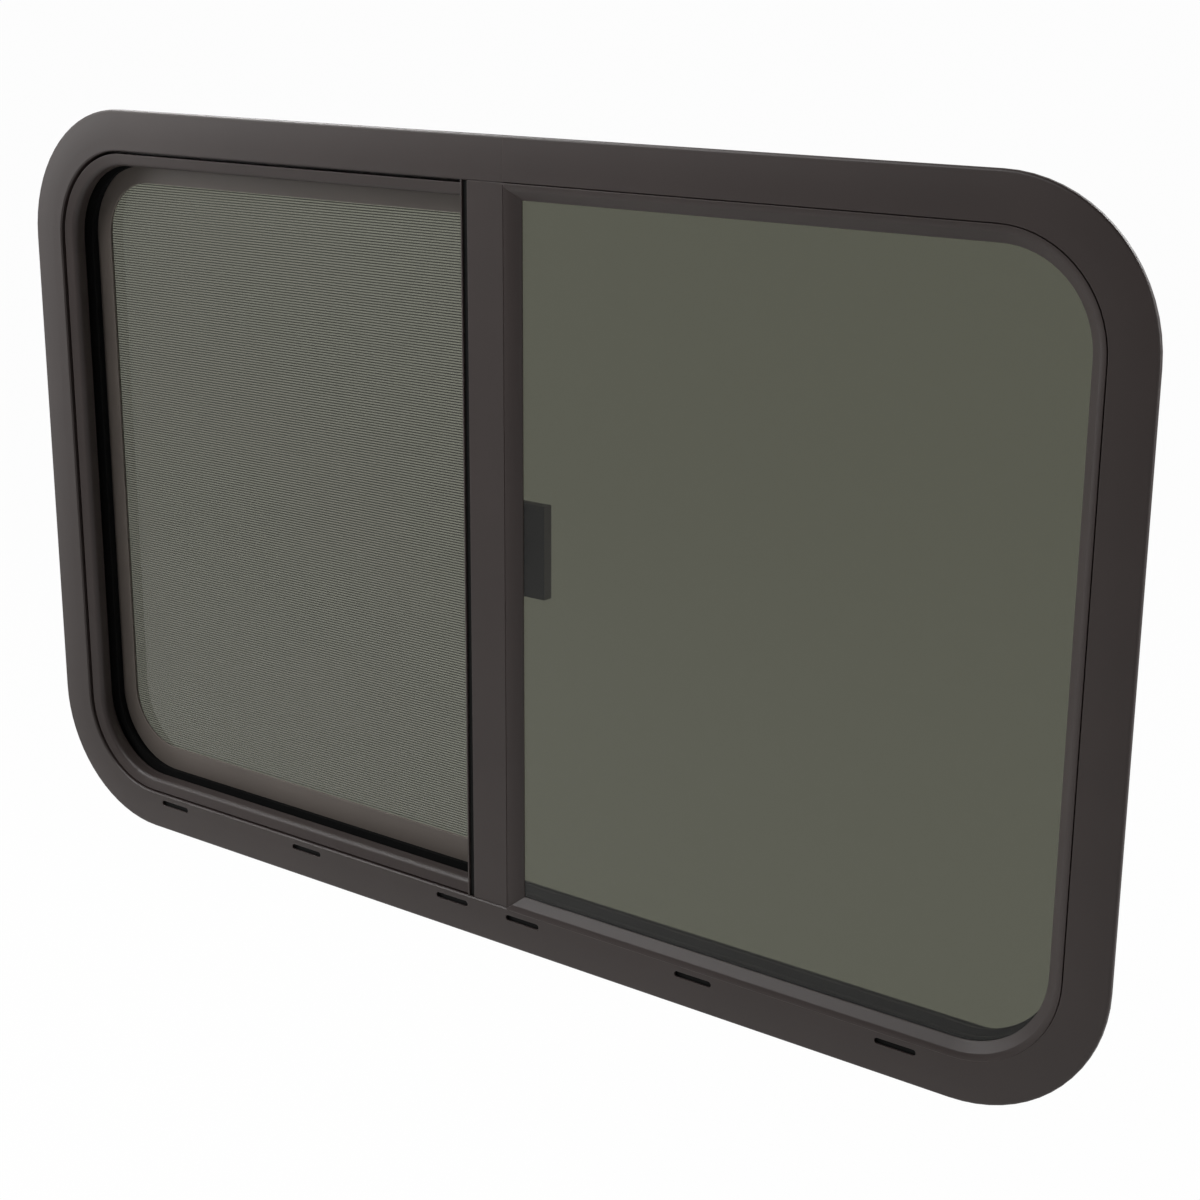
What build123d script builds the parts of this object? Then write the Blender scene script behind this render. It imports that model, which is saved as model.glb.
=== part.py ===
from build123d import *
from collections import namedtuple
import os

# Horizontal half-slider window for a camper or caravan wall.
# X runs to the right seen from outside, Y runs inward through the wall, Z runs up.
# The origin is on the back face of the flange, at the middle of its lower run.

# Overall size, over the flange
WINDOW_WIDTH = 914.0
WINDOW_HEIGHT = 563.0
CORNER_RADIUS = 99.0

# Frame extrusion, measured inward from the flange's edge and in depth from the flange's back
FLANGE_WIDTH = 29.7
FLANGE_EDGE = 2.2
FLANGE_FACE = 4.4
FLANGE_WALL = 1.4
EDGE_ROUND = 1.6
SHOULDER_WIDTH = 20.0
SHOULDER_DROP = 1.0
MOUTH_EASE = 0.9
FRAME_WALL = 1.8
HOLLOW_INSET = 3.4
RIB = 1.6
NECK_INSET = 24.0
REBATE_DEPTH = 8.0
REBATE_RIB_INSET = 40.0
DIVIDER_DEPTH = 17.0
DIVIDER_INSET = 41.7
SASH_TRACK = 15.4
SCREEN_TRACK = 5.0
INNER_RIB_INSET = 30.6
SEAM_X = 8.0
SEAM_GAP = 0.1
JOINER_THICK = 0.8

# Weep slots through the front of the lower run
WEEP_LEFT_END = 125.0
WEEP_RIGHT_END = 137.0
WEEP_MULLION_GAP = 14.5
WEEP_PITCH = 145.0
WEEP_INSET = 23.0
WEEP_LENGTH = 29.5
WEEP_HEIGHT = 4.2
BAFFLE_THICK = 0.8
BAFFLE_OVERLAP = 1.0

# Mullion
MULLION_LEFT = -22.2
MULLION_RIGHT = 7.6
MULLION_FACE = 3.4
MULLION_END_GAP = 0.2
SEAL_GROOVE = 4.6
SEAL_GROOVE_DEPTH = 6.0
SEAL_SINK = 1.6
SEAL_FIN = 1.1
GLAZING_FIN = 6.2

# Fixed pane and its glazing
GLASS = 4.0
FIXED_GLASS_DEPTH = 2.0
FIXED_GLASS_INSET = 34.5
GLASS_SIDE_GAP = 1.5
TAPE_WIDTH = 5.0
BEAD_GAP = 1.0
BEAD_WIDTH = 9.8
BEAD_BEND = 3.5
BEAD_BEND_DROP = 1.1
BEAD_LIP = 0.5
BEAD_LEG = 2.2
MULLION_BEAD_WIDTH = 11.8
MULLION_BEAD_GAP = 0.3
MULLION_BEAD_SINK = 0.2
MULLION_BEAD_RADIUS = 26.0
BLOCK_LENGTH = 60.0
BLOCK_SHARES = (0.25, 0.75)

# Trim round the mouth of the sliding side
TRIM_GAP = 2.3
TRIM_SILL_GAP = 1.2
TRIM_WIDTH = 9.0
TRIM_CREST = 2.4
TRIM_SLOPE = 5.8
TRIM_SLOPE_DROP = 1.5
TRIM_ROUND = 5.6
TRIM_WALL = 1.6
TRIM_END_GAP = 0.2

# Black lining of the empty outer track beside the sash
LINING = 1.2
LINING_WRAP = 0.8
LINING_SETBACK = 0.5

# Sliding sash
SASH_WIDTH = 27.2
SASH_BODY = 16.0
SASH_THICK = 10.0
SASH_WALL = 1.7
SASH_LIP = 1.4
SASH_TAPE = 0.4
SASH_FRONT_GAP = 3.7
SASH_SIDE_GAP = 2.0
SASH_LIFT = 6.2
SASH_BITE = 9.4
SASH_SEAL_SETBACK = 0.8
SASH_WEDGE = 3.0
STILE_RIGHT = -8.0
GLIDE_LENGTH = 42.0
GLIDE_WIDTH = 8.0
GLIDE_SETBACK = 38.0
PILE_WIDTH = 3.6
PILE_SETBACK = 1.0
STOP_LENGTH = 14.0
STOP_HEIGHT = 9.0
STOP_SETBACK = 23.0

# Latch on the sash stile
LATCH_LEFT = -24.0
LATCH_RIGHT = 14.6
LATCH_HEIGHT = 66.0
LATCH_DEPTH = 9.0
LATCH_ROUND = 2.0
LEVER_WIDTH = 13.0
LEVER_HEIGHT = 40.0
LEVER_DEPTH = 9.0
LEVER_ROUND = 3.0

# Insect screen
SCREEN_WIDTH = 11.5
SCREEN_THICK = 4.0
SCREEN_REST_GAP = 0.3
SCREEN_TOP_GAP = 3.7
SCREEN_RIGHT = -26.0
SCREEN_SETBACK = 0.5
SPLINE_GROOVE = 3.0
SPLINE_GROOVE_INSET = 4.5
SPLINE_GROOVE_DEPTH = 2.4
SPLINE_SINK = 0.2
MESH = 0.4

Outline = namedtuple("Outline", "left right bottom top radius")

# Levels and lines that follow from the sizes above
MOUNT_INSET = NECK_INSET / 2
EDGE_BOTTOM = -MOUNT_INSET
EDGE_TOP = WINDOW_HEIGHT - MOUNT_INSET
MID_Z = (EDGE_BOTTOM + EDGE_TOP) / 2
TRACK_FLOOR = NECK_INSET + FRAME_WALL
SASH_TRACK_START = DIVIDER_DEPTH + RIB
SASH_TRACK_END = SASH_TRACK_START + SASH_TRACK
SCREEN_TRACK_START = SASH_TRACK_END + RIB
SCREEN_TRACK_END = SCREEN_TRACK_START + SCREEN_TRACK
NECK_DEPTH = SCREEN_TRACK_END + RIB
FIXED_GLASS_BACK = FIXED_GLASS_DEPTH + GLASS
SASH_FRONT = SASH_TRACK_START + SASH_FRONT_GAP
SASH_BACK = SASH_FRONT + SASH_THICK
SASH_GLASS_FRONT = SASH_FRONT + SASH_LIP + SASH_TAPE
SASH_GLASS_BACK = SASH_GLASS_FRONT + GLASS
STILE_LEFT = STILE_RIGHT - SASH_WIDTH
STILE_BODY_LEFT = STILE_RIGHT - SASH_BODY
SCREEN_FRONT = SCREEN_TRACK_START + SCREEN_SETBACK
MULLION_SEAL_LEFT = MULLION_LEFT - SEAL_GROOVE
MULLION_EDGE = MULLION_SEAL_LEFT - SEAL_FIN
WEEP_LEFT_START = MULLION_EDGE - WEEP_MULLION_GAP
WEEP_RIGHT_START = MULLION_RIGHT + WEEP_MULLION_GAP
WEEP_X = (
    WEEP_LEFT_END - WINDOW_WIDTH / 2,
    WEEP_LEFT_START - WEEP_PITCH,
    WEEP_LEFT_START,
    WEEP_RIGHT_START,
    WEEP_RIGHT_START + WEEP_PITCH,
    WINDOW_WIDTH / 2 - WEEP_RIGHT_END,
)


def inset(amount):
    """The window's edge moved inward by an amount on every side."""
    return Outline(
        amount - WINDOW_WIDTH / 2,
        WINDOW_WIDTH / 2 - amount,
        EDGE_BOTTOM + amount,
        EDGE_TOP - amount,
        CORNER_RADIUS - amount,
    )


def facing_out(depth):
    """A plane at a depth behind the flange's back, with its normal pointing outside."""
    return Plane.XZ.offset(-depth)


def bent_bar(section, outline, half="both", end=0.0):
    """Carry a section round an outline with rounded corners, all round or round one half up to X = end.

    The section's X is the distance inward from the outline and its Y is the depth.
    """
    left, right, bottom, top, radius = outline
    jamb = top - bottom - 2 * radius
    head_start = end if half == "right" else left + radius
    head_stop = end if half == "left" else right - radius
    sill_start = end if half == "left" else right - radius
    sill_stop = end if half == "right" else left + radius
    head = ((head_start, top), (1, 0), head_stop - head_start)
    right_jamb = ((right, top - radius), (0, -1), jamb)
    sill = ((sill_start, bottom), (-1, 0), sill_start - sill_stop)
    left_jamb = ((left, bottom + radius), (0, 1), jamb)
    runs = {
        "both": (head, right_jamb, sill, left_jamb),
        "right": (head, right_jamb, sill),
        "left": (sill, left_jamb, head),
    }[half]
    turns = len(runs) if half == "both" else len(runs) - 1
    with BuildPart() as bar:
        for number, ((x, z), (along_x, along_z), length) in enumerate(runs):
            start = Plane((x, 0, z), x_dir=(along_z, 0, -along_x), z_dir=(along_x, 0, along_z))
            with BuildSketch(start):
                add(section)
            extrude(amount=length)
            if number < turns:
                corner = start.offset(length)
                with BuildSketch(corner):
                    add(section)
                centre = corner.origin + corner.x_dir * radius
                revolve(axis=Axis(centre, (0, 1, 0)), revolution_arc=90)
    return bar.part


def pane(left, right, bottom, top, radius, rounded, front, thick):
    """A sheet of glass or mesh with rounded corners on one side."""
    with BuildPart() as sheet:
        with BuildSketch(facing_out(front + thick)) as shape:
            with Locations(((left + right) / 2, (bottom + top) / 2)):
                Rectangle(right - left, top - bottom)
            side = shape.vertices().group_by(Axis.X)[0 if rounded == "left" else -1]
            fillet(side, radius)
        extrude(amount=thick)
    return sheet.part


def finish(builder, name):
    builder.part.label = name
    export_step(builder.part, f"parts/{name}.step")


os.makedirs("parts", exist_ok=True)

# Outer frame: one hollow extrusion bent to the outline, its two ends meeting at the head
with BuildSketch() as frame_section:
    with BuildLine():
        mouth = (FLANGE_WIDTH - MOUTH_EASE, -FLANGE_FACE)
        shoulder_foot = (EDGE_ROUND, SHOULDER_DROP - FLANGE_FACE)
        face = Line(mouth, (SHOULDER_WIDTH, -FLANGE_FACE))
        shoulder = TangentArc(face @ 1, shoulder_foot, tangent=face % 1)
        TangentArc(shoulder_foot, (0, -FLANGE_EDGE), tangent=shoulder % 1)
        Polyline(
            mouth,
            (FLANGE_WIDTH, MOUTH_EASE - FLANGE_FACE),
            (FLANGE_WIDTH, REBATE_DEPTH),
            (REBATE_RIB_INSET, REBATE_DEPTH),
            (REBATE_RIB_INSET, REBATE_DEPTH + RIB),
            (TRACK_FLOOR, REBATE_DEPTH + RIB),
            (TRACK_FLOOR, DIVIDER_DEPTH),
            (DIVIDER_INSET, DIVIDER_DEPTH),
            (DIVIDER_INSET, SASH_TRACK_START),
            (TRACK_FLOOR, SASH_TRACK_START),
            (TRACK_FLOOR, SASH_TRACK_END),
            (INNER_RIB_INSET, SASH_TRACK_END),
            (INNER_RIB_INSET, SCREEN_TRACK_START),
            (TRACK_FLOOR, SCREEN_TRACK_START),
            (TRACK_FLOOR, SCREEN_TRACK_END),
            (INNER_RIB_INSET, SCREEN_TRACK_END),
            (INNER_RIB_INSET, NECK_DEPTH),
            (NECK_INSET, NECK_DEPTH),
            (NECK_INSET, 0),
            (0, 0),
            (0, -FLANGE_EDGE),
        )
    make_face()
    with BuildLine():
        Polyline(
            (HOLLOW_INSET, -FLANGE_WALL),
            (HOLLOW_INSET, FLANGE_WALL + SHOULDER_DROP - FLANGE_FACE),
            (SHOULDER_WIDTH, FLANGE_WALL - FLANGE_FACE),
            (FLANGE_WIDTH - FRAME_WALL, FLANGE_WALL - FLANGE_FACE),
            (FLANGE_WIDTH - FRAME_WALL, REBATE_DEPTH - FRAME_WALL),
            (TRACK_FLOOR, REBATE_DEPTH - FRAME_WALL),
            (TRACK_FLOOR, -FLANGE_WALL),
            close=True,
        )
    make_face(mode=Mode.SUBTRACT)

with BuildPart() as outer_frame:
    add(bent_bar(frame_section.sketch, inset(0)))
    with BuildSketch(facing_out(-FLANGE_FACE / 2)):
        with Locations(*[(x, EDGE_BOTTOM + WEEP_INSET) for x in WEEP_X]):
            SlotOverall(WEEP_LENGTH, WEEP_HEIGHT)
    extrude(amount=FLANGE_FACE, mode=Mode.SUBTRACT)
    with BuildSketch(Plane.YZ.offset(SEAM_X)):
        with Locations((0, EDGE_TOP)):
            Rectangle(4 * NECK_DEPTH, 2 * CORNER_RADIUS)
    extrude(amount=SEAM_GAP, mode=Mode.SUBTRACT)
finish(outer_frame, "outer_frame")

# Joiner plate that lies in the flange's hollow and ties the two ends of the frame together
with BuildPart() as frame_joiner:
    with BuildSketch(facing_out(-FLANGE_WALL)):
        with Locations((SEAM_X, EDGE_TOP - NECK_INSET)):
            Rectangle(2 * NECK_INSET, NECK_INSET / 2, align=(Align.CENTER, Align.MIN))
    extrude(amount=JOINER_THICK)
finish(frame_joiner, "frame_joiner")

# Black baffles that lie in the flange's hollow behind the weep slots
with BuildPart() as weep_baffles:
    with BuildSketch(facing_out(-FLANGE_WALL)):
        with Locations(*[(x, EDGE_BOTTOM + WEEP_INSET) for x in WEEP_X]):
            Rectangle(WEEP_LENGTH + 2 * BAFFLE_OVERLAP, WEEP_HEIGHT + 2 * BAFFLE_OVERLAP)
    extrude(amount=BAFFLE_THICK)
finish(weep_baffles, "weep_baffles")

# Mullion: a hollow bar with a seal groove on its left and a glazing fin on its right
SILL_MOUTH = EDGE_BOTTOM + FLANGE_WIDTH
HEAD_MOUTH = EDGE_TOP - FLANGE_WIDTH
MULLION_BOTTOM = SILL_MOUTH + MULLION_END_GAP
MULLION_HEIGHT = HEAD_MOUTH - SILL_MOUTH - 2 * MULLION_END_GAP
with BuildPart() as mullion:
    with BuildSketch(Plane.XY.offset(MULLION_BOTTOM)):
        with BuildLine():
            groove_floor = SEAL_GROOVE_DEPTH - MULLION_FACE
            Polyline(
                (MULLION_EDGE, -MULLION_FACE),
                (MULLION_SEAL_LEFT, -MULLION_FACE),
                (MULLION_SEAL_LEFT, groove_floor),
                (MULLION_LEFT, groove_floor),
                (MULLION_LEFT, -MULLION_FACE),
                (MULLION_RIGHT, -MULLION_FACE),
                (MULLION_RIGHT, REBATE_DEPTH),
                (MULLION_RIGHT + GLAZING_FIN, REBATE_DEPTH),
                (MULLION_RIGHT + GLAZING_FIN, REBATE_DEPTH + RIB),
                (MULLION_RIGHT, REBATE_DEPTH + RIB),
                (MULLION_RIGHT, DIVIDER_DEPTH),
                (MULLION_LEFT, DIVIDER_DEPTH),
                (MULLION_LEFT, groove_floor + RIB),
                (MULLION_EDGE, groove_floor + RIB),
                close=True,
            )
        make_face()
        with Locations(
            (
                (MULLION_LEFT + MULLION_RIGHT) / 2,
                (DIVIDER_DEPTH - MULLION_FACE) / 2,
            )
        ):
            Rectangle(
                MULLION_RIGHT - MULLION_LEFT - 2 * FRAME_WALL,
                DIVIDER_DEPTH + MULLION_FACE - 2 * FRAME_WALL,
                mode=Mode.SUBTRACT,
            )
    extrude(amount=MULLION_HEIGHT)
    # Ends notched round the ribs of the frame
    notch = REBATE_RIB_INSET - FLANGE_WIDTH + MULLION_END_GAP
    with BuildSketch(Plane.YZ.offset(MULLION_EDGE)):
        notch_start = REBATE_DEPTH - MULLION_END_GAP
        for level in (SILL_MOUTH + notch / 2, HEAD_MOUTH - notch / 2):
            with Locations((notch_start + NECK_DEPTH / 2, level)):
                Rectangle(NECK_DEPTH, notch)
    extrude(amount=MULLION_RIGHT + GLAZING_FIN - MULLION_EDGE, mode=Mode.SUBTRACT)
finish(mullion, "mullion")

# Black seal pressed into the mullion's groove
with BuildPart() as mullion_seal:
    with BuildSketch(Plane.XY.offset(MULLION_BOTTOM)):
        with Locations(((MULLION_SEAL_LEFT + MULLION_LEFT) / 2, SEAL_GROOVE_DEPTH - MULLION_FACE)):
            Rectangle(SEAL_GROOVE, SEAL_GROOVE_DEPTH - SEAL_SINK, align=(Align.CENTER, Align.MAX))
    extrude(amount=MULLION_HEIGHT)
finish(mullion_seal, "mullion_seal")

# Fixed pane with its sealing tape and setting blocks
fixed_edge = inset(FIXED_GLASS_INSET)
FIXED_GLASS_LEFT = MULLION_RIGHT + GLASS_SIDE_GAP
with BuildPart() as fixed_glass:
    add(
        pane(
            FIXED_GLASS_LEFT,
            fixed_edge.right,
            fixed_edge.bottom,
            fixed_edge.top,
            fixed_edge.radius,
            "right",
            FIXED_GLASS_DEPTH,
            GLASS,
        )
    )
finish(fixed_glass, "fixed_glass")

TAPE_THICK = REBATE_DEPTH - FIXED_GLASS_BACK
MULLION_TAPE_WIDTH = GLAZING_FIN - GLASS_SIDE_GAP - MULLION_END_GAP
with BuildSketch() as tape_section:
    with Locations((0, FIXED_GLASS_BACK)):
        Rectangle(TAPE_WIDTH, TAPE_THICK, align=Align.MIN)
with BuildPart() as fixed_glass_tape:
    add(bent_bar(tape_section.sketch, fixed_edge, "right", FIXED_GLASS_LEFT))
    with BuildSketch(facing_out(REBATE_DEPTH)):
        with Locations((FIXED_GLASS_LEFT, fixed_edge.bottom)):
            Rectangle(MULLION_TAPE_WIDTH, fixed_edge.top - fixed_edge.bottom, align=Align.MIN)
    extrude(amount=TAPE_THICK)
finish(fixed_glass_tape, "fixed_glass_tape")

# Glazing bead round the fixed pane, resting on the lower run so its gap opens at the head and jamb
bead_edge = inset(FLANGE_WIDTH + BEAD_GAP)._replace(bottom=SILL_MOUTH)
BEAD_LEFT = MULLION_RIGHT + MULLION_BEAD_GAP
BEAD_MITRE = BEAD_LEFT + MULLION_BEAD_WIDTH
with BuildSketch() as bead_section:
    with BuildLine():
        nose = (-MOUTH_EASE, -FLANGE_FACE)
        bend_end = (BEAD_BEND, BEAD_BEND_DROP - FLANGE_FACE)
        TangentArc(nose, bend_end, tangent=(1, 0))
        Polyline(
            bend_end,
            (BEAD_WIDTH, FIXED_GLASS_DEPTH - BEAD_LIP),
            (BEAD_WIDTH, FIXED_GLASS_DEPTH),
            (BEAD_LEG, FIXED_GLASS_DEPTH),
            (BEAD_LEG, REBATE_DEPTH),
            (0, REBATE_DEPTH),
            (0, MOUTH_EASE - FLANGE_FACE),
            nose,
        )
    make_face()


def mitred_length():
    """Outline of the mullion bead in the plane of the glass, mitred at both ends."""
    with BuildSketch() as shape:
        with BuildLine():
            Polyline(
                (BEAD_LEFT, bead_edge.bottom),
                (BEAD_MITRE, bead_edge.bottom + BEAD_WIDTH),
                (BEAD_MITRE, bead_edge.top - BEAD_WIDTH),
                (BEAD_LEFT, bead_edge.top),
                close=True,
            )
        make_face()
    return shape.sketch


with BuildPart() as fixed_bead:
    add(bent_bar(bead_section.sketch, bead_edge, "right", BEAD_LEFT))
    with BuildSketch(facing_out(REBATE_DEPTH)):
        add(mitred_length())
    extrude(amount=REBATE_DEPTH + 2 * FLANGE_FACE, mode=Mode.SUBTRACT)
finish(fixed_bead, "fixed_bead")

with BuildPart() as mullion_bead:
    with BuildSketch(Plane.XY.offset(bead_edge.bottom)):
        with BuildLine():
            crest = (BEAD_LEFT, MULLION_BEAD_SINK - MULLION_FACE)
            lip = (BEAD_MITRE, FIXED_GLASS_DEPTH - BEAD_LIP)
            RadiusArc(crest, lip, -MULLION_BEAD_RADIUS)
            Polyline(
                lip,
                (BEAD_MITRE, FIXED_GLASS_DEPTH),
                (BEAD_LEFT, FIXED_GLASS_DEPTH),
                crest,
            )
        make_face()
    extrude(amount=bead_edge.top - bead_edge.bottom)
    with BuildSketch(facing_out(REBATE_DEPTH)):
        add(mitred_length())
    extrude(amount=REBATE_DEPTH + 2 * FLANGE_FACE, mode=Mode.INTERSECT)
finish(mullion_bead, "mullion_bead")

BLOCK_BOTTOM = bead_edge.bottom + BEAD_LEG
BLOCK_RUN = fixed_edge.right - fixed_edge.radius - FIXED_GLASS_LEFT
with BuildPart() as setting_blocks:
    with BuildSketch(facing_out(REBATE_DEPTH)):
        with Locations(*[(FIXED_GLASS_LEFT + share * BLOCK_RUN, BLOCK_BOTTOM) for share in BLOCK_SHARES]):
            Rectangle(BLOCK_LENGTH, fixed_edge.bottom - BLOCK_BOTTOM, align=(Align.CENTER, Align.MIN))
    extrude(amount=REBATE_DEPTH - FIXED_GLASS_DEPTH)
finish(setting_blocks, "setting_blocks")

# Trim that closes the empty glazing rebate, set low so its gap opens at the head and jamb
trim_edge = inset(FLANGE_WIDTH + TRIM_GAP)._replace(bottom=SILL_MOUTH + TRIM_SILL_GAP)
with BuildSketch() as trim_section:
    with BuildLine():
        crest = (0, -TRIM_CREST)
        lip = (TRIM_WIDTH, TRIM_ROUND - TRIM_CREST)
        slope = Line(crest, (TRIM_SLOPE, TRIM_SLOPE_DROP - TRIM_CREST))
        TangentArc(slope @ 1, lip, tangent=slope % 1)
        Polyline(
            lip,
            (TRIM_WIDTH, REBATE_DEPTH),
            (TRIM_WIDTH - TRIM_WALL, REBATE_DEPTH),
            (TRIM_WIDTH - TRIM_WALL, TRIM_ROUND - TRIM_CREST),
            (TRIM_WALL, TRIM_WALL - TRIM_CREST),
            (TRIM_WALL, REBATE_DEPTH),
            (0, REBATE_DEPTH),
            crest,
        )
    make_face()
with BuildPart() as vent_trim:
    add(bent_bar(trim_section.sketch, trim_edge, "left", MULLION_EDGE - TRIM_END_GAP))
finish(vent_trim, "vent_trim")

# Lining of the empty outer track, wrapped over the edge of the divider
LINING_START = REBATE_DEPTH + RIB
with BuildSketch() as lining_section:
    with BuildLine():
        Polyline(
            (TRACK_FLOOR, LINING_START),
            (REBATE_RIB_INSET - LINING_SETBACK, LINING_START),
            (REBATE_RIB_INSET - LINING_SETBACK, LINING_START + LINING),
            (TRACK_FLOOR + LINING, LINING_START + LINING),
            (TRACK_FLOOR + LINING, DIVIDER_DEPTH - LINING),
            (DIVIDER_INSET + LINING_WRAP, DIVIDER_DEPTH - LINING),
            (DIVIDER_INSET + LINING_WRAP, SASH_TRACK_START),
            (DIVIDER_INSET, SASH_TRACK_START),
            (DIVIDER_INSET, DIVIDER_DEPTH),
            (TRACK_FLOOR, DIVIDER_DEPTH),
            close=True,
        )
    make_face()
with BuildPart() as channel_lining:
    add(bent_bar(lining_section.sketch, inset(0), "left", MULLION_EDGE - TRIM_END_GAP))
finish(channel_lining, "channel_lining")

# Sash: bent frame on three sides, closed by the meeting stile behind the mullion
sash_edge = inset(TRACK_FLOOR + SASH_SIDE_GAP)._replace(bottom=EDGE_BOTTOM + TRACK_FLOOR + SASH_LIFT)


def stile_start(drop):
    """A plane across the meeting stile, facing down, at a drop below the sash's top."""
    return Plane((STILE_RIGHT, 0, sash_edge.top - drop), x_dir=(-1, 0, 0), z_dir=(0, 0, -1))


with BuildSketch() as sash_body:
    with Locations((0, SASH_FRONT)):
        Rectangle(SASH_BODY, SASH_THICK, align=Align.MIN)
    with Locations((SASH_WALL, SASH_FRONT + SASH_WALL)):
        Rectangle(
            SASH_BODY - 2 * SASH_WALL,
            SASH_THICK - 2 * SASH_WALL,
            align=Align.MIN,
            mode=Mode.SUBTRACT,
        )
with BuildSketch() as sash_lip:
    with Locations((SASH_BODY, SASH_FRONT)):
        Rectangle(SASH_WIDTH - SASH_BODY, SASH_LIP, align=Align.MIN)
with BuildSketch() as sash_section:
    add(sash_body.sketch)
    add(sash_lip.sketch)
with BuildPart() as sash_frame:
    add(bent_bar(sash_section.sketch, sash_edge, "left", STILE_BODY_LEFT))
finish(sash_frame, "sash_frame")

with BuildPart() as sash_stile:
    with BuildSketch(stile_start(0)):
        add(sash_body.sketch)
    extrude(amount=sash_edge.top - sash_edge.bottom)
    with BuildSketch(stile_start(SASH_WIDTH)):
        add(sash_lip.sketch)
    extrude(amount=sash_edge.top - sash_edge.bottom - 2 * SASH_WIDTH)
finish(sash_stile, "sash_stile")

GLASS_SETBACK = SASH_WIDTH - SASH_BITE
with BuildPart() as sash_glass:
    add(
        pane(
            sash_edge.left + GLASS_SETBACK,
            STILE_RIGHT - GLASS_SETBACK,
            sash_edge.bottom + GLASS_SETBACK,
            sash_edge.top - GLASS_SETBACK,
            sash_edge.radius - GLASS_SETBACK,
            "left",
            SASH_GLASS_FRONT,
            GLASS,
        )
    )
finish(sash_glass, "sash_glass")

# Seal round the sash glass: a tape behind the lip, the edge and a wedge behind the glass
SEAL_REACH = SASH_WIDTH - SASH_SEAL_SETBACK
with BuildSketch() as seal_section:
    with BuildLine():
        Polyline(
            (SASH_BODY, SASH_FRONT + SASH_LIP),
            (SEAL_REACH, SASH_FRONT + SASH_LIP),
            (SEAL_REACH, SASH_GLASS_FRONT),
            (GLASS_SETBACK, SASH_GLASS_FRONT),
            (GLASS_SETBACK, SASH_GLASS_BACK),
            (SASH_BODY + SASH_WEDGE, SASH_GLASS_BACK),
            (SASH_BODY + SASH_WEDGE, SASH_BACK),
            (SASH_BODY, SASH_BACK),
            close=True,
        )
    make_face()
with BuildPart() as sash_glass_seal:
    add(bent_bar(seal_section.sketch, sash_edge, "left", STILE_BODY_LEFT))
    with BuildSketch(stile_start(SEAL_REACH)):
        add(seal_section.sketch)
    extrude(amount=sash_edge.top - sash_edge.bottom - 2 * SEAL_REACH)
finish(sash_glass_seal, "sash_glass_seal")

# Glides that carry the sash on the floor of its track
GLIDE_X = (sash_edge.left + sash_edge.radius + GLIDE_SETBACK, STILE_LEFT - GLIDE_SETBACK)
with BuildPart() as sash_glides:
    with BuildSketch(Plane.XY.offset(EDGE_BOTTOM + TRACK_FLOOR)):
        with Locations(*[(x, (SASH_FRONT + SASH_BACK) / 2) for x in GLIDE_X]):
            Rectangle(GLIDE_LENGTH, GLIDE_WIDTH)
    extrude(amount=SASH_LIFT)
finish(sash_glides, "sash_glides")

# Pile strips along both sides of the sash track
with BuildSketch() as outer_pile_section:
    with Locations((DIVIDER_INSET - PILE_SETBACK, SASH_TRACK_START)):
        Rectangle(PILE_WIDTH, SASH_FRONT_GAP, align=(Align.MAX, Align.MIN))
with BuildPart() as outer_pile:
    add(bent_bar(outer_pile_section.sketch, inset(0), "left", STILE_LEFT))
finish(outer_pile, "outer_pile")

with BuildSketch() as inner_pile_section:
    with Locations((INNER_RIB_INSET - PILE_SETBACK, SASH_BACK)):
        Rectangle(PILE_WIDTH, SASH_TRACK_END - SASH_BACK, align=(Align.MAX, Align.MIN))
with BuildPart() as inner_pile:
    add(bent_bar(inner_pile_section.sketch, inset(0), "left", STILE_LEFT))
finish(inner_pile, "inner_pile")

# Pile strip between the mullion's back and the sash stile
with BuildPart() as meeting_pile:
    with BuildSketch(facing_out(SASH_FRONT)):
        with Locations(((MULLION_LEFT + STILE_RIGHT) / 2, MID_Z)):
            Rectangle(PILE_WIDTH, MULLION_HEIGHT - 2 * (DIVIDER_INSET - FLANGE_WIDTH))
    extrude(amount=SASH_FRONT - DIVIDER_DEPTH)
finish(meeting_pile, "meeting_pile")

# Rubber stops that end the sash's travel behind the fixed pane
STOP_X = WINDOW_WIDTH / 2 - CORNER_RADIUS - STOP_SETBACK
with BuildPart() as sash_stops:
    with BuildSketch(facing_out(SASH_BACK)):
        with Locations((STOP_X, EDGE_BOTTOM + TRACK_FLOOR)):
            Rectangle(STOP_LENGTH, STOP_HEIGHT, align=(Align.CENTER, Align.MIN))
        with Locations((STOP_X, EDGE_TOP - TRACK_FLOOR)):
            Rectangle(STOP_LENGTH, STOP_HEIGHT, align=(Align.CENTER, Align.MAX))
    extrude(amount=SASH_THICK)
finish(sash_stops, "sash_stops")

# Latch on the inner face of the sash stile
with BuildPart() as latch_body:
    with BuildSketch(facing_out(SASH_BACK + LATCH_DEPTH)):
        with Locations(((LATCH_LEFT + LATCH_RIGHT) / 2, MID_Z)):
            Rectangle(LATCH_RIGHT - LATCH_LEFT, LATCH_HEIGHT)
    extrude(amount=LATCH_DEPTH)
    fillet(latch_body.faces().sort_by(Axis.Y)[-1].edges(), LATCH_ROUND)
finish(latch_body, "latch_body")

LEVER_BACK = SASH_BACK + LATCH_DEPTH + LEVER_DEPTH
with BuildPart() as latch_lever:
    with BuildSketch(facing_out(LEVER_BACK)):
        with Locations(((LATCH_LEFT + LATCH_RIGHT) / 2, MID_Z)):
            RectangleRounded(LEVER_WIDTH, LEVER_HEIGHT, LEVER_ROUND)
    extrude(amount=LEVER_DEPTH)
    chamfer(latch_lever.faces().sort_by(Axis.Y)[-1].edges(), LEVER_ROUND / 2)
finish(latch_lever, "latch_lever")

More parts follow.
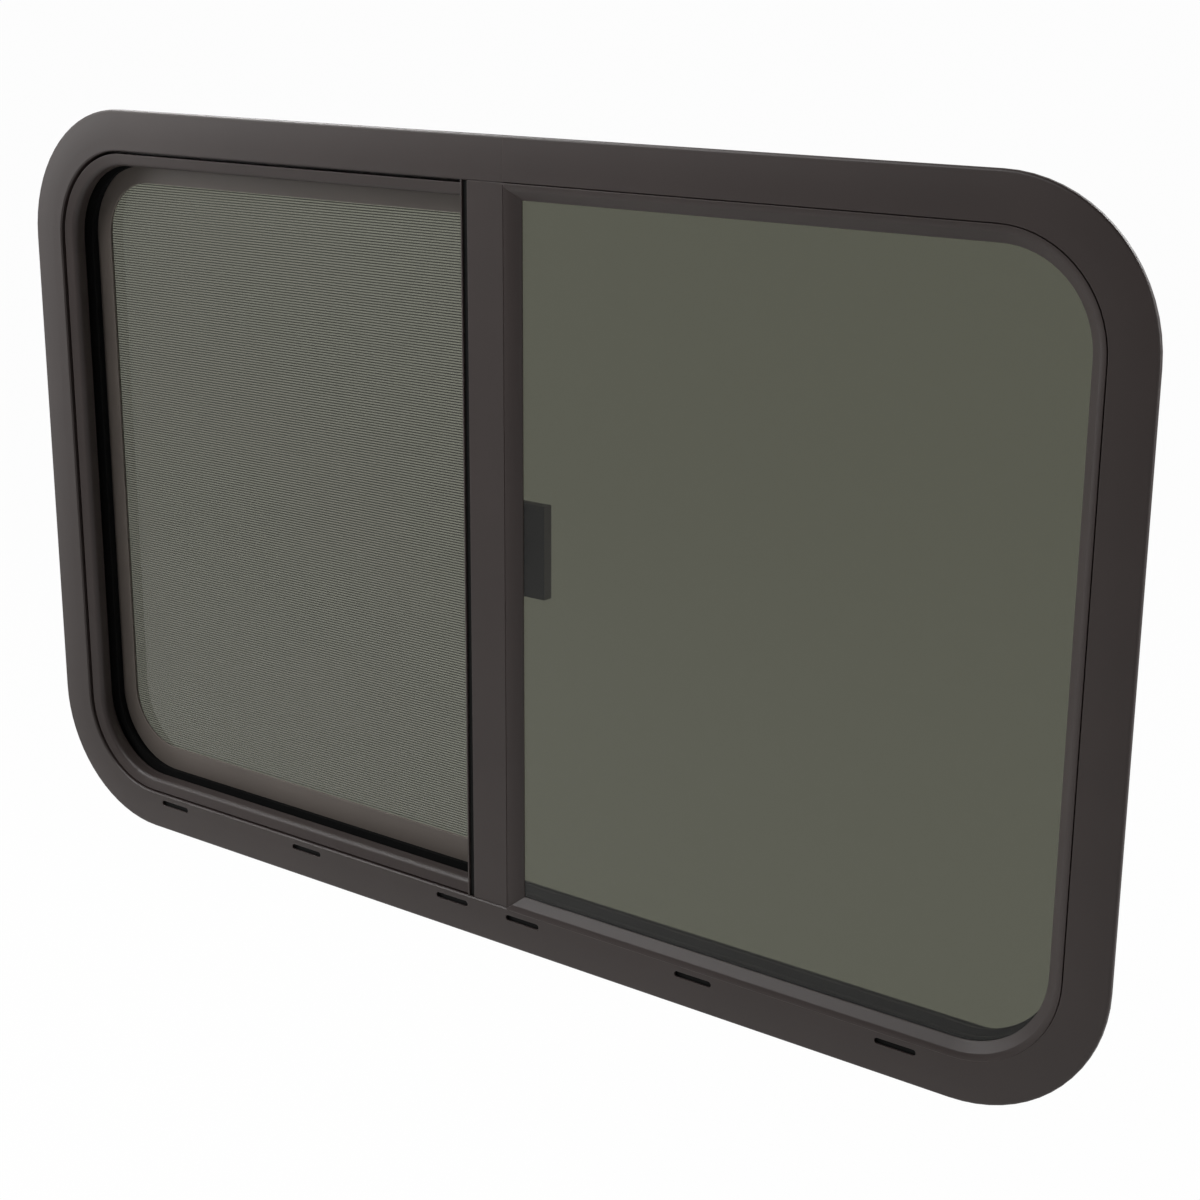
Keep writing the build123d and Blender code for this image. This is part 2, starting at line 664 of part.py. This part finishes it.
# Insect screen behind the sash: bent frame closed by a stile, mesh and the spline that holds it
screen_edge = inset(TRACK_FLOOR + SASH_SIDE_GAP)._replace(
    bottom=EDGE_BOTTOM + TRACK_FLOOR + SCREEN_REST_GAP,
    top=EDGE_TOP - TRACK_FLOOR - SCREEN_TOP_GAP,
)
with BuildSketch() as screen_section:
    with Locations((0, SCREEN_FRONT)):
        Rectangle(SCREEN_WIDTH, SCREEN_THICK, align=Align.MIN)
    with Locations((SPLINE_GROOVE_INSET, SCREEN_FRONT)):
        Rectangle(SPLINE_GROOVE, SPLINE_GROOVE_DEPTH, align=Align.MIN, mode=Mode.SUBTRACT)
with BuildPart() as screen_frame:
    add(bent_bar(screen_section.sketch, screen_edge, "left", SCREEN_RIGHT - SCREEN_WIDTH))
    with BuildSketch(Plane((SCREEN_RIGHT, 0, screen_edge.top), x_dir=(-1, 0, 0), z_dir=(0, 0, -1))):
        add(screen_section.sketch)
    extrude(amount=screen_edge.top - screen_edge.bottom)
finish(screen_frame, "screen_frame")

MESH_INSET = SPLINE_GROOVE_INSET + SPLINE_GROOVE
with BuildPart() as screen_mesh:
    add(
        pane(
            screen_edge.left + MESH_INSET,
            SCREEN_RIGHT - MESH_INSET,
            screen_edge.bottom + MESH_INSET,
            screen_edge.top - MESH_INSET,
            screen_edge.radius - MESH_INSET,
            "left",
            SCREEN_FRONT - MESH,
            MESH,
        )
    )
finish(screen_mesh, "screen_mesh")

with BuildSketch() as spline_section:
    with Locations((SPLINE_GROOVE_INSET, SCREEN_FRONT + SPLINE_SINK)):
        Rectangle(SPLINE_GROOVE, SPLINE_GROOVE_DEPTH - SPLINE_SINK, align=Align.MIN)
with BuildPart() as screen_spline:
    add(bent_bar(spline_section.sketch, screen_edge, "left", SCREEN_RIGHT - SCREEN_WIDTH))
finish(screen_spline, "screen_spline")
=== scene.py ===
import math

import bpy
import numpy as np
from bpy.props import FloatProperty, FloatVectorProperty, PointerProperty
from mathutils import Matrix, Vector


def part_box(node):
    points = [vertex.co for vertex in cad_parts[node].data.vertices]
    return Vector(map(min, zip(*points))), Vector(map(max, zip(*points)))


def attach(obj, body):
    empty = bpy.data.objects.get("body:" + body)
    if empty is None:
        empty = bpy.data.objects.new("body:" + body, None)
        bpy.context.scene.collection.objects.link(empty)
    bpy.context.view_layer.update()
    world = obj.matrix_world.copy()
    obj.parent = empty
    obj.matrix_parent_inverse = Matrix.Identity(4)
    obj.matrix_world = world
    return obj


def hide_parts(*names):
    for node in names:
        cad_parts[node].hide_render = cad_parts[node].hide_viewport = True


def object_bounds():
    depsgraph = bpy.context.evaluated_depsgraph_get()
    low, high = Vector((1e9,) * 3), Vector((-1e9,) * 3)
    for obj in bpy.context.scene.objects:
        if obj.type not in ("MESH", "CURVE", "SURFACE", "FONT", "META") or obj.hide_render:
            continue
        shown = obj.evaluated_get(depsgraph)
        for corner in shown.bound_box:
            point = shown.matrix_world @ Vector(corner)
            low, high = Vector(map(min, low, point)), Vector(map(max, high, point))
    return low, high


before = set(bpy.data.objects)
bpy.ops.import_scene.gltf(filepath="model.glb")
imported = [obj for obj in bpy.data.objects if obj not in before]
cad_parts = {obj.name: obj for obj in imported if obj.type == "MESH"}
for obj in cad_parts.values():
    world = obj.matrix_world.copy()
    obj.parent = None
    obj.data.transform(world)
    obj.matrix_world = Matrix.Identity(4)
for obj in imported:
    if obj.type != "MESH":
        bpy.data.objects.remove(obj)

bl_info = {
    "name": "Camper half-slider window",
    "version": (1, 0, 0),
    "blender": (4, 5, 0),
    "location": "View3D > Sidebar > Window",
    "description": "Finishes, woven insect mesh and studio for a camper half-slider window",
    "category": "Object",
}

CAD_BOX = [list(corner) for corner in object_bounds()]
MM = 0.001

# The studio's soft boxes: name, place and size in metres, power in watts. All face the window.
# The last three stand behind the window's plane, so they shine on none of its front faces.
LAMPS = (
    ("upper_left_softbox", (-1.2, -1.0, 1.35), (0.7, 0.5), 10.0),
    ("upper_front_softbox", (-0.5, -1.3, 1.6), (0.7, 0.5), 7.0),
    ("left_softbox", (-1.7, -0.8, 0.7), (0.6, 0.5), 4.4),
    ("low_left_softbox", (-2.3, -1.0, -0.05), (0.8, 0.6), 2.4),
    ("front_right_fill", (1.3, -1.8, 0.9), (0.9, 0.9), 3.4),
    ("rim_strip", (-1.35, 0.15, 1.7), (0.6, 0.2), 26.0),
    ("right_side_fill", (1.9, 0.5, 0.7), (0.8, 0.8), 14.0),
    ("inside_softbox", (0.9, 1.5, 1.55), (0.8, 0.8), 22.0),
)


def linear(hex_colour):
    """Scene-linear red, green and blue of an sRGB hex colour."""
    channels = [int(hex_colour[i : i + 2], 16) / 255 for i in (1, 3, 5)]
    return tuple(c / 12.92 if c <= 0.04045 else ((c + 0.055) / 1.055) ** 2.4 for c in channels)


def shade(colour, factor):
    """The colour made darker or lighter by a factor, with full alpha."""
    return (*[c * factor for c in colour], 1)


def add_node(tree, kind, values=None, links=None, **settings):
    """Add a node, give it its settings and socket values, and link other sockets into it."""
    node = tree.nodes.new(kind)
    for name, value in settings.items():
        setattr(node, name, value)
    for name, value in (values or {}).items():
        node.inputs[name].default_value = value
    for name, socket in (links or {}).items():
        tree.links.new(socket, node.inputs[name])
    return node


def empty_material(name):
    """A material with an empty node tree and its output node."""
    material = bpy.data.materials.new(name)
    material.use_nodes = True
    tree = material.node_tree
    tree.nodes.clear()
    return material, tree, tree.nodes.new("ShaderNodeOutputMaterial")


def give(material, *names):
    """Put one material on CAD nodes."""
    for name in names:
        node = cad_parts[name]
        node.data.materials.clear()
        node.data.materials.append(material)


def new_piece(name, points, faces, material):
    """Make a mesh object from arrays of points and quads and let it ride on the window."""
    mesh = bpy.data.meshes.new(name)
    mesh.from_pydata(points.tolist(), [], faces.tolist())
    mesh.validate()
    mesh.materials.append(material)
    piece = bpy.data.objects.new(name, mesh)
    bpy.context.scene.collection.objects.link(piece)
    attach(piece, "root")
    return piece


def powder_coat(name, colour, roughness):
    """Polyester powder coat on extruded aluminium, sprayed and baked.

    A satin brown film, with a soft wide highlight and the faint orange peel of the melted powder.
    Its sharp edges are drawn as thin paler lines, a painted highlight in the colour.
    """
    peel_mm, peel_depth_mm = 1.6, 0.05
    drift_mm, drift_share = 90.0, 0.06
    drift_low, drift_high = 0.3, 0.7
    edge_mm, edge_highlight_gain = 0.6, 2.2
    # An edge is found by how far its rounded normal turns from the flat one, as a cosine
    edge_begins, edge_full = 0.97, 0.75
    material, tree, output = empty_material(name)
    place = add_node(tree, "ShaderNodeTexCoord")
    drift = add_node(
        tree,
        "ShaderNodeTexNoise",
        {"Scale": 1 / (drift_mm * MM), "Detail": 2.0},
        {"Vector": place.outputs["Object"]},
    )
    tone = add_node(tree, "ShaderNodeValToRGB", links={"Fac": drift.outputs["Fac"]})
    dark, light = tone.color_ramp.elements
    dark.position, dark.color = drift_low, shade(colour, 1 - drift_share)
    light.position, light.color = drift_high, shade(colour, 1 + drift_share)
    peel = add_node(
        tree,
        "ShaderNodeTexNoise",
        {"Scale": 1 / (peel_mm * MM), "Detail": 1.0},
        {"Vector": place.outputs["Object"]},
    )
    edge = add_node(tree, "ShaderNodeBevel", {"Radius": edge_mm * MM}, samples=8)
    flat = add_node(tree, "ShaderNodeNewGeometry")
    turned = add_node(
        tree,
        "ShaderNodeVectorMath",
        links={0: edge.outputs["Normal"], 1: flat.outputs["Normal"]},
        operation="DOT_PRODUCT",
    )
    thin = add_node(
        tree,
        "ShaderNodeMapRange",
        {"From Min": edge_begins, "From Max": edge_full, "To Min": 0.0, "To Max": 1.0},
        {"Value": turned.outputs["Value"]},
    )
    # Inputs 0, 6 and 7 of a colour mix are its factor and its two colours, and output 2 its result
    # Painted highlight: near a sharp edge the colour is mixed towards a lighter copy of itself
    pale = add_node(
        tree,
        "ShaderNodeMix",
        {7: shade(colour, edge_highlight_gain)},
        {0: thin.outputs["Result"], 6: tone.outputs["Color"]},
        data_type="RGBA",
    )
    bump = add_node(
        tree,
        "ShaderNodeBump",
        {"Strength": 0.12, "Distance": peel_depth_mm * MM},
        {"Height": peel.outputs["Fac"], "Normal": edge.outputs["Normal"]},
    )
    shader = add_node(
        tree,
        "ShaderNodeBsdfPrincipled",
        {"Roughness": roughness, "Specular IOR Level": 0.5},
        {"Base Color": pale.outputs[2], "Normal": bump.outputs["Normal"]},
    )
    tree.links.new(shader.outputs["BSDF"], output.inputs["Surface"])
    return material


def tinted_glass(name, colour):
    """Toughened float glass, body-tinted grey-green.

    Clear and glossy, with the very shallow waves that the toughening rollers leave, a weak mirror
    image, and a thin film of dust that veils what lies behind.
    """
    wave_mm, wave_depth_mm = 160.0, 0.1
    mirror_share = 0.3
    dust_share = 0.08
    material, tree, output = empty_material(name)
    place = add_node(tree, "ShaderNodeTexCoord")
    wave = add_node(
        tree,
        "ShaderNodeTexNoise",
        {"Scale": 1 / (wave_mm * MM), "Detail": 0.0},
        {"Vector": place.outputs["Object"]},
    )
    bump = add_node(
        tree,
        "ShaderNodeBump",
        {"Strength": 0.04, "Distance": wave_depth_mm * MM},
        {"Height": wave.outputs["Fac"]},
    )
    shader = add_node(
        tree,
        "ShaderNodeBsdfPrincipled",
        {
            "Base Color": (*colour, 1),
            "Roughness": 0.02,
            "IOR": 1.52,
            "Specular Tint": (mirror_share, mirror_share, mirror_share, 1),
            "Transmission Weight": 1.0,
            "Sheen Weight": dust_share,
            "Sheen Roughness": 0.9,
        },
        {"Normal": bump.outputs["Normal"]},
    )
    tree.links.new(shader.outputs["BSDF"], output.inputs["Surface"])
    return material


def grained(name, colour, roughness, grain_mm, depth_mm, specular, metallic=0.0):
    """A moulded, extruded or spun piece whose colour and height follow one fine noise."""
    grain_share = 0.2
    grain_low, grain_high = 0.35, 0.65
    material, tree, output = empty_material(name)
    place = add_node(tree, "ShaderNodeTexCoord")
    grain = add_node(
        tree,
        "ShaderNodeTexNoise",
        {"Scale": 1 / (grain_mm * MM), "Detail": 3.0},
        {"Vector": place.outputs["Object"]},
    )
    tone = add_node(tree, "ShaderNodeValToRGB", links={"Fac": grain.outputs["Fac"]})
    dark, light = tone.color_ramp.elements
    dark.position, dark.color = grain_low, shade(colour, 1 - grain_share)
    light.position, light.color = grain_high, shade(colour, 1 + grain_share)
    bump = add_node(
        tree,
        "ShaderNodeBump",
        {"Strength": 0.4, "Distance": depth_mm * MM},
        {"Height": grain.outputs["Fac"]},
    )
    shader = add_node(
        tree,
        "ShaderNodeBsdfPrincipled",
        {"Roughness": roughness, "Specular IOR Level": specular, "Metallic": metallic},
        {"Base Color": tone.outputs["Color"], "Normal": bump.outputs["Normal"]},
    )
    tree.links.new(shader.outputs["BSDF"], output.inputs["Surface"])
    return material


def corner_inset(past, radius):
    """How far a round corner steps in, at a distance past the start of its bend.

    The radius less the root of the radius squared less the distance squared.
    """
    past = np.clip(past, 0, radius)
    return radius - np.sqrt(radius**2 - past**2)


def thread_prisms(starts, ends, across, depth):
    """Closed rectangular prisms along straight threads.

    Each thread is the line from its start to its end, thickened by plus and minus half the width
    across it and half the depth through it, so a thread has eight corners and six faces. The
    faces point outwards where across, depth and the thread's own direction are right-handed.
    """
    corners_each = 8
    one_thread = np.array(
        [[0, 3, 2, 1], [4, 5, 6, 7], [0, 1, 5, 4], [1, 2, 6, 5], [2, 3, 7, 6], [3, 0, 4, 7]]
    )
    lines = np.stack([starts, ends], axis=1)
    halves = np.array([[-1, -1], [1, -1], [1, 1], [-1, 1]]) / 2
    section = halves[:, :1] * across + halves[:, 1:] * depth
    points = (lines[:, :, None, :] + section[None, None]).reshape(-1, 3)
    first = np.arange(len(starts))[:, None, None] * corners_each
    faces = (first + one_thread[None]).reshape(-1, 4)
    return points, faces


def white_to_the_eye(tree, mirror_share=1.0, mirror_pattern=None):
    """One for a ray from the camera or through glass, and nothing for a ray that only lights.

    A reflected ray gets the mirror share, or what the pattern gives where there is one.
    """
    path = add_node(tree, "ShaderNodeLightPath")
    seen = add_node(
        tree,
        "ShaderNodeMath",
        links={0: path.outputs["Is Camera Ray"], 1: path.outputs["Is Transmission Ray"]},
        operation="MAXIMUM",
    )
    links = {0: path.outputs["Is Glossy Ray"]}
    if mirror_pattern is not None:
        links[1] = mirror_pattern
    mirrored = add_node(tree, "ShaderNodeMath", {1: mirror_share}, links, operation="MULTIPLY")
    both = add_node(
        tree,
        "ShaderNodeMath",
        links={0: seen.outputs[0], 1: mirrored.outputs[0]},
        operation="MAXIMUM",
    )
    return both.outputs[0]


class WINDOW_PG_finish(bpy.types.PropertyGroup):
    """Colours of the window's finishes."""

    frame_colour: FloatVectorProperty(
        name="Frame",
        description="Powder coat of the frame, mullion, beads and trim",
        subtype="COLOR",
        default=linear("#3d3432"),
    )
    # Painted light: the frame's coat made lighter, standing in for light that the sash in its
    # shaded recess does not get
    sash_colour_lightened_for_shade: FloatVectorProperty(
        name="Sash",
        description="Powder coat of the sliding sash and the screen's frame",
        subtype="COLOR",
        default=linear("#6f6761"),
    )
    fixed_tint: FloatVectorProperty(
        name="Fixed pane",
        description="Body tint of the fixed pane",
        subtype="COLOR",
        default=linear("#535448"),
    )
    sash_tint: FloatVectorProperty(
        name="Sash pane",
        description="Body tint of the sliding pane",
        subtype="COLOR",
        default=linear("#7b7c70"),
    )
    rubber_colour: FloatVectorProperty(
        name="Rubber",
        description="Seals, tape, baffles and setting blocks",
        subtype="COLOR",
        default=linear("#0d0d0d"),
    )
    # Near black; on the channel lining it also paints the deep channel's shade
    pile_colour: FloatVectorProperty(
        name="Pile",
        description="Pile strips of the sash and lining of its channel",
        subtype="COLOR",
        default=linear("#161616"),
    )
    plastic_colour: FloatVectorProperty(
        name="Plastic",
        description="Glides and stops",
        subtype="COLOR",
        default=linear("#1b1a19"),
    )
    latch_colour: FloatVectorProperty(
        name="Latch",
        description="Latch body and lever",
        subtype="COLOR",
        default=linear("#5f5753"),
    )
    joiner_colour: FloatVectorProperty(
        name="Joiner",
        description="Bare aluminium of the joiner in the flange",
        subtype="COLOR",
        default=linear("#b9bbbd"),
    )
    mesh_colour: FloatVectorProperty(
        name="Insect mesh",
        description="Coated yarn of the insect mesh",
        subtype="COLOR",
        default=linear("#5a5a56"),
    )


class WINDOW_PG_screen(bpy.types.PropertyGroup):
    """Sizes of the insect mesh.

    Real insect mesh has a thread about every 1.4 mm both ways, too fine to show. The level threads
    are drawn wider apart and thicker, so that they show as lines, and the upright ones thinner and
    closer, so that they melt together.
    """

    weft_pitch: FloatProperty(
        name="Weft pitch",
        description="Distance from one level thread to the next",
        subtype="DISTANCE",
        unit="LENGTH",
        default=1.9 * MM,
    )
    weft_width: FloatProperty(
        name="Weft thread",
        description="Width of a level thread",
        subtype="DISTANCE",
        unit="LENGTH",
        default=0.62 * MM,
    )
    warp_pitch: FloatProperty(
        name="Warp pitch",
        description="Distance from one upright thread to the next",
        subtype="DISTANCE",
        unit="LENGTH",
        default=0.95 * MM,
    )
    warp_width: FloatProperty(
        name="Warp thread",
        description="Width of an upright thread",
        subtype="DISTANCE",
        unit="LENGTH",
        default=0.09 * MM,
    )
    corner_radius: FloatProperty(
        name="Corner",
        description="Radius of the mesh's two outer corners",
        subtype="DISTANCE",
        unit="LENGTH",
        default=63.7 * MM,
    )


class WINDOW_PG_stage(bpy.types.PropertyGroup):
    """Camera and floor."""

    camera_place: FloatVectorProperty(
        name="Camera",
        description="Where the camera stands",
        subtype="TRANSLATION",
        unit="LENGTH",
        default=(905.5 * MM, -1092.7 * MM, 657.4 * MM),
    )
    camera_yaw: FloatProperty(
        name="Yaw",
        description="How far the camera looks to the left of straight through the window",
        subtype="ANGLE",
        default=math.radians(36.895),
    )
    camera_pitch: FloatProperty(
        name="Pitch",
        description="How far the camera looks down",
        subtype="ANGLE",
        default=math.radians(16.34),
    )
    camera_roll: FloatProperty(
        name="Roll",
        description="How far the camera leans to its left",
        subtype="ANGLE",
        default=math.radians(0.38),
    )
    camera_lens: FloatProperty(
        name="Lens",
        description="Focal length on a 36 mm wide frame, in millimetres",
        default=65.35,
    )
    floor_drop: FloatProperty(
        name="Floor drop",
        description="How far the floor lies below the window",
        subtype="DISTANCE",
        unit="LENGTH",
        default=0.35,
    )
    floor_colour: FloatVectorProperty(
        name="Floor",
        description="Matt board of the floor, as the lamps light it",
        subtype="COLOR",
        default=linear("#d2d2d0"),
    )


class WINDOW_OT_coat_frame(bpy.types.Operator):
    """Powder coat the frame, mullion, beads and trim"""

    bl_idname = "camper_window.coat_frame"
    bl_label = "Coat frame"

    def execute(self, context):
        finish = context.scene.window_finish
        coat = powder_coat("powder_coated_frame_aluminium", finish.frame_colour, roughness=0.45)
        give(coat, "outer_frame", "mullion", "mullion_bead", "fixed_bead", "vent_trim")
        return {"FINISHED"}


class WINDOW_OT_coat_sash(bpy.types.Operator):
    """Powder coat the sliding sash and the screen's frame, in a coat lighter than the frame's:
    painted light for the shade of their recess
    """

    bl_idname = "camper_window.coat_sash"
    bl_label = "Coat sash"

    def execute(self, context):
        finish = context.scene.window_finish
        # A lightened copy of the frame's coat, painted light for the shaded recess of the sash
        coat = powder_coat("powder_coated_sash_aluminium_lightened_for_shade", finish.sash_colour_lightened_for_shade, roughness=0.5)
        give(coat, "sash_frame", "sash_stile", "screen_frame")
        return {"FINISHED"}


class WINDOW_OT_glaze(bpy.types.Operator):
    """Give the two panes their tinted glass"""

    bl_idname = "camper_window.glaze"
    bl_label = "Glaze"

    def execute(self, context):
        finish = context.scene.window_finish
        give(tinted_glass("tinted_float_glass_fixed", finish.fixed_tint), "fixed_glass")
        give(tinted_glass("tinted_float_glass_sash", finish.sash_tint), "sash_glass")
        return {"FINISHED"}


class WINDOW_OT_fit_seals(bpy.types.Operator):
    """Give the rubber seals and the pile strips their finish"""

    bl_idname = "camper_window.fit_seals"
    bl_label = "Fit seals"

    def execute(self, context):
        finish = context.scene.window_finish
        # Extruded EPDM: near black and matt, with a faint talc-like grain
        rubber = grained(
            "extruded_epdm_rubber",
            finish.rubber_colour,
            roughness=0.7,
            grain_mm=1.2,
            depth_mm=0.03,
            specular=0.3,
        )
        give(rubber, "mullion_seal", "fixed_glass_tape", "setting_blocks")
        give(rubber, "sash_glass_seal", "screen_spline", "weep_baffles")
        # Cut polypropylene pile: matt and broken up by the fibre tufts
        pile = grained(
            "polypropylene_pile",
            finish.pile_colour,
            roughness=0.95,
            grain_mm=0.6,
            depth_mm=0.3,
            specular=0.1,
        )
        # The channel lining stands for a flocked run channel, and its near-black pile also paints
        # the channel's deep shade
        give(pile, "outer_pile", "inner_pile", "meeting_pile", "channel_lining")
        return {"FINISHED"}


class WINDOW_OT_fit_hardware(bpy.types.Operator):
    """Give the latch, glides, stops and joiner their finish"""

    bl_idname = "camper_window.fit_hardware"
    bl_label = "Fit hardware"

    def execute(self, context):
        finish = context.scene.window_finish
        # Moulded glass-filled nylon: dull, with the fine texture of a spark-eroded mould
        mould = {"roughness": 0.5, "grain_mm": 0.9, "depth_mm": 0.06, "specular": 0.4}
        nylon = grained("moulded_black_nylon", finish.plastic_colour, **mould)
        give(nylon, "sash_glides", "sash_stops")
        latch = grained("moulded_brown_nylon", finish.latch_colour, **mould)
        give(latch, "latch_body", "latch_lever")
        # Mill-finish aluminium: bare and pale, with the dull mottle of the extrusion die
        joiner = grained(
            "mill_finish_aluminium",
            finish.joiner_colour,
            roughness=0.38,
            grain_mm=3.0,
            depth_mm=0.01,
            specular=0.5,
            metallic=1.0,
        )
        give(joiner, "frame_joiner")
        return {"FINISHED"}


class WINDOW_OT_weave_screen(bpy.types.Operator):
    """Weave the insect mesh from straight threads inside the outline of the CAD mesh"""

    bl_idname = "camper_window.weave_screen"
    bl_label = "Weave screen"

    def execute(self, context):
        sizes = context.scene.window_screen
        finish = context.scene.window_finish
        (left, front, bottom), (right, back, top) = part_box("screen_mesh")
        radius = sizes.corner_radius
        # Coated glass yarn: grey, dull, slightly rough between the filaments
        yarn = grained(
            "coated_glass_yarn",
            finish.mesh_colour,
            roughness=0.55,
            grain_mm=0.3,
            depth_mm=0.02,
            specular=0.4,
        )

        thick, thin = sizes.weft_width, sizes.warp_width
        rows = np.arange(bottom + thick, top - thick / 2, sizes.weft_pitch)
        columns = np.arange(left + thin, right - thin / 2, sizes.warp_pitch)
        if not len(rows) or not len(columns):
            raise RuntimeError("the insect mesh has no room for its threads")

        # A level thread starts further in where it meets a round corner of the outline
        past = np.abs(rows - (bottom + top) / 2) - ((top - bottom) / 2 - radius)
        middle = np.full_like(rows, (front + back) / 2)
        starts = np.stack([left + corner_inset(past, radius), middle, rows], axis=1)
        ends = np.stack([np.full_like(rows, right), middle, rows], axis=1)
        weft = thread_prisms(starts, ends, np.array([0, 0, thick]), np.array([0, front - back, 0]))

        # An upright thread is cut shorter at both ends there
        inset = corner_inset(left + radius - columns, radius)
        middle = np.full_like(columns, (front + back) / 2)
        starts = np.stack([columns, middle, bottom + inset], axis=1)
        ends = np.stack([columns, middle, top - inset], axis=1)
        warp = thread_prisms(starts, ends, np.array([thin, 0, 0]), np.array([0, thin, 0]))

        points = np.concatenate([weft[0], warp[0]])
        faces = np.concatenate([weft[1], warp[1] + len(weft[0])])
        piece = new_piece("insect_mesh_weave", points, faces, yarn)
        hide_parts("screen_mesh")
        return {"FINISHED"}


class WINDOW_OT_set_stage(bpy.types.Operator):
    """Set the floor, the white surround, the soft studio light and the camera"""

    bl_idname = "camper_window.set_stage"
    bl_label = "Set stage"

    def execute(self, context):
        context.scene.view_settings.view_transform = "Standard"
        self.lay_floor(context.scene)
        self.hang_surround(context.scene)
        self.place_lamps(context.scene)
        self.place_camera(context.scene)
        return {"FINISHED"}

    def lay_floor(self, scene):
        """One matt board below the window, wide enough to meet the white surround far away."""
        reach = 150.0
        glow_share = 0.98
        mirror_share = 0.25
        stage = scene.window_stage
        corners = np.array([[-1, -1], [1, -1], [1, 1], [-1, 1]]) * reach
        level = np.full((4, 1), CAD_BOX[0][2] - stage.floor_drop)
        mesh = bpy.data.meshes.new("studio_floor")
        mesh.from_pydata(np.concatenate([corners, level], axis=1).tolist(), [], [[0, 1, 2, 3]])
        floor = bpy.data.objects.new("studio_floor", mesh)
        scene.collection.objects.link(floor)
        # Matt white board: pale to the eye, and it keeps a soft trace of the window's shadow
        material, tree, output = empty_material("matt_white_board")
        board = add_node(tree, "ShaderNodeBsdfDiffuse", {"Color": (*stage.floor_colour, 1)})
        glow = add_node(tree, "ShaderNodeEmission", {"Strength": 1.0})
        share = add_node(
            tree,
            "ShaderNodeMath",
            {1: glow_share},
            {0: white_to_the_eye(tree, mirror_share)},
            operation="MULTIPLY",
        )
        mix = add_node(
            tree,
            "ShaderNodeMixShader",
            links={0: share.outputs[0], 1: board.outputs[0], 2: glow.outputs[0]},
        )
        tree.links.new(mix.outputs[0], output.inputs["Surface"])
        mesh.materials.append(material)

    def hang_surround(self, scene):
        """White to the eye. Reflections see white behind the window and a dim studio elsewhere."""
        dim_level = 0.03
        white_begins, white_full = 0.6, 1.0
        world = bpy.data.worlds.new("studio_surround")
        scene.world = world
        world.use_nodes = True
        tree = world.node_tree
        tree.nodes.clear()
        output = tree.nodes.new("ShaderNodeOutputWorld")
        place = add_node(tree, "ShaderNodeTexCoord")
        along = add_node(tree, "ShaderNodeSeparateXYZ", links={0: place.outputs["Generated"]})
        behind = add_node(
            tree,
            "ShaderNodeMapRange",
            {"From Min": white_begins, "From Max": white_full, "To Min": 0.0, "To Max": 1.0},
            {"Value": along.outputs["Y"]},
        )
        level = add_node(
            tree,
            "ShaderNodeMath",
            {1: dim_level},
            {0: white_to_the_eye(tree, mirror_pattern=behind.outputs["Result"])},
            operation="MAXIMUM",
        )
        white = add_node(
            tree, "ShaderNodeBackground", {"Color": (1, 1, 1, 1)}, {"Strength": level.outputs[0]}
        )
        tree.links.new(white.outputs[0], output.inputs["Surface"])

    def place_lamps(self, scene):
        """Soft boxes, each turned to the middle of the window."""
        middle = (Vector(CAD_BOX[0]) + Vector(CAD_BOX[1])) / 2
        for name, place, (wide, tall), power in LAMPS:
            light = bpy.data.lights.new(name, "AREA")
            light.shape = "RECTANGLE"
            light.size = wide
            light.size_y = tall
            light.energy = power
            lamp = bpy.data.objects.new(name, light)
            lamp.location = place
            lamp.rotation_euler = (middle - lamp.location).to_track_quat("-Z", "Y").to_euler()
            scene.collection.objects.link(lamp)

    def place_camera(self, scene):
        """A camera at the photograph's place, turned by yaw, then pitch, then roll."""
        stage = scene.window_stage
        lens = bpy.data.cameras.new("studio_camera")
        lens.sensor_width = 36.0
        lens.lens = stage.camera_lens
        camera = bpy.data.objects.new("studio_camera", lens)
        turn = (
            Matrix.Rotation(stage.camera_yaw, 4, "Z")
            @ Matrix.Rotation(math.pi / 2 - stage.camera_pitch, 4, "X")
            @ Matrix.Rotation(stage.camera_roll, 4, "Z")
        )
        camera.matrix_world = Matrix.Translation(stage.camera_place) @ turn
        scene.collection.objects.link(camera)
        scene.camera = camera


STEPS = (
    WINDOW_OT_coat_frame,
    WINDOW_OT_coat_sash,
    WINDOW_OT_glaze,
    WINDOW_OT_fit_seals,
    WINDOW_OT_fit_hardware,
    WINDOW_OT_weave_screen,
    WINDOW_OT_set_stage,
)

GROUPS = {
    "window_finish": WINDOW_PG_finish,
    "window_screen": WINDOW_PG_screen,
    "window_stage": WINDOW_PG_stage,
}


class WINDOW_PT_steps(bpy.types.Panel):
    """The steps that dress the window, and their settings"""

    bl_idname = "WINDOW_PT_steps"
    bl_label = "Camper window"
    bl_space_type = "VIEW_3D"
    bl_region_type = "UI"
    bl_category = "Window"

    def draw(self, context):
        for step in STEPS:
            self.layout.operator(step.bl_idname)
        for name, group in GROUPS.items():
            for setting in group.__annotations__:
                self.layout.prop(getattr(context.scene, name), setting)


def register():
    """Add the settings, the steps and the panel."""
    for part in (*GROUPS.values(), *STEPS, WINDOW_PT_steps):
        bpy.utils.register_class(part)
    for name, group in GROUPS.items():
        setattr(bpy.types.Scene, name, PointerProperty(type=group))


def unregister():
    """Take the settings, the steps and the panel away again."""
    for name in GROUPS:
        delattr(bpy.types.Scene, name)
    for part in reversed((*GROUPS.values(), *STEPS, WINDOW_PT_steps)):
        bpy.utils.unregister_class(part)


def main():
    """Register the add-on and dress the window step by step."""
    register()
    for step in STEPS:
        space, call = step.bl_idname.split(".")
        getattr(getattr(bpy.ops, space), call)()


if __name__ == "__main__":
    main()
